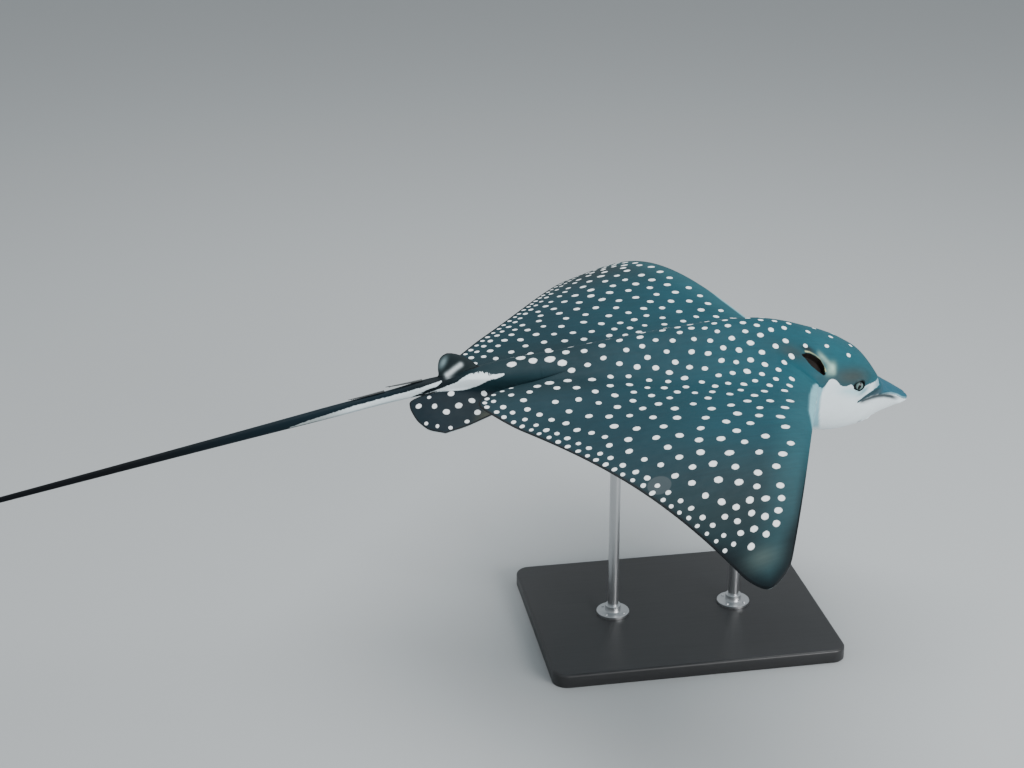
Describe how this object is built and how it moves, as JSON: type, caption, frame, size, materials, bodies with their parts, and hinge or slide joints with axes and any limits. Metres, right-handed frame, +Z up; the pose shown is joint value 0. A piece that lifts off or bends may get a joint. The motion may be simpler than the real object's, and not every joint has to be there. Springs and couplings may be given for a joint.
{
  "type": "spotted eagle ray model",
  "caption": "Life-size still model of a spotted eagle ray in mid glide, wings arched, on a flat display base with upright rods.",
  "frame": {"origin": "on the floor at the centre of the underside of the stand's base", "axes": "+Z up, +X the way the ray heads and the whole model's longest direction, +Y to the ray's left"},
  "size_m": [2.8196, 1.4131, 0.6599],
  "materials": {
    "ray_skin": "cast resin painted as bare ray skin: dark slate above with white spots, white below, satin wet look",
    "ray_eye": "gloss, dark pupil in a pale iris",
    "ray_sting": "matt bone colour",
    "stand_base_paint": "satin black paint",
    "stand_rod_steel": "brushed"
  },
  "bodies": {
    "root": {"rostral_lobe": "ray_skin", "head": "ray_skin", "eye_left": "ray_eye", "eye_right": "ray_eye", "trunk": "ray_skin", "pectoral_fin_left": "ray_skin", "pectoral_fin_right": "ray_skin", "pelvic_fin_left": "ray_skin", "pelvic_fin_right": "ray_skin", "dorsal_fin": "ray_skin", "tail_base": "ray_skin", "tail_mid": "ray_skin", "tail_rear": "ray_skin", "tail_tip": "ray_skin", "sting_1": "ray_sting", "sting_2": "ray_sting", "stand_base": "stand_base_paint", "stand_rod_front": "stand_rod_steel", "stand_rod_rear": "stand_rod_steel"}
  },
  "joints": []
}
